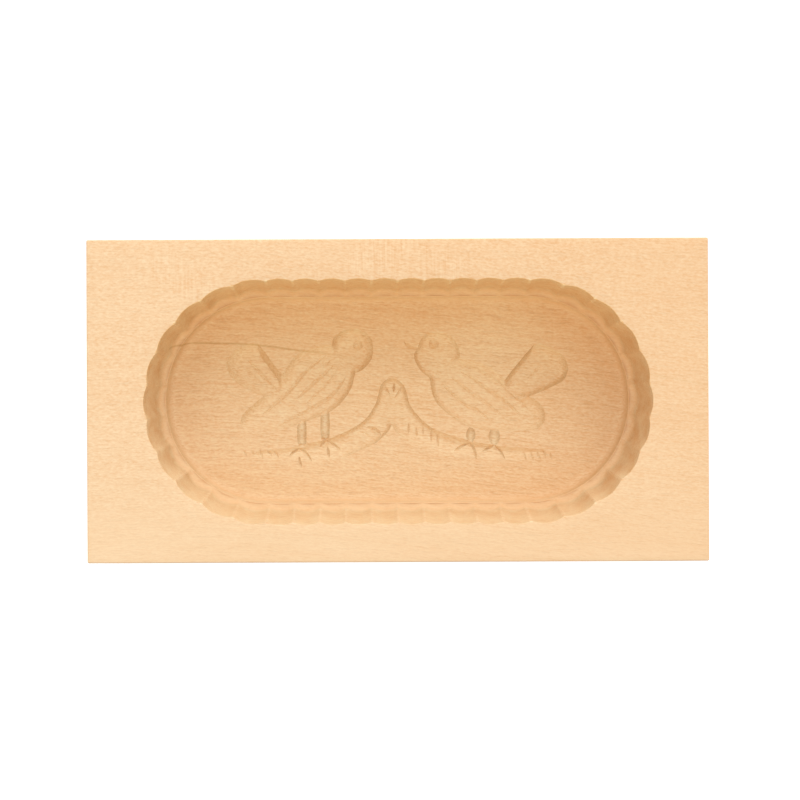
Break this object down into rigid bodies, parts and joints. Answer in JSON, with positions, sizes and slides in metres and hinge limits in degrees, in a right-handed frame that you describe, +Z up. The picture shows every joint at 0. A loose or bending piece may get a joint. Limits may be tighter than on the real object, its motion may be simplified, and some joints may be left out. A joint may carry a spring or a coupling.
{
  "type": "butter mould",
  "caption": "Rectangular wooden block with an oblong, round-ended pocket, fluted round its wall, and a carved motif of birds beside a stump in the pocket's floor.",
  "frame": {"origin": "middle of the underside", "axes": "+X along the block's length, towards the bird that looks left; +Y across it, towards the birds' heads; +Z up, out of the pocket's mouth"},
  "size_m": [0.2, 0.104, 0.042],
  "materials": {
    "maple": "unfinished, planed and finely sanded"
  },
  "bodies": {
    "root": {"mould_block": "maple"}
  },
  "joints": []
}
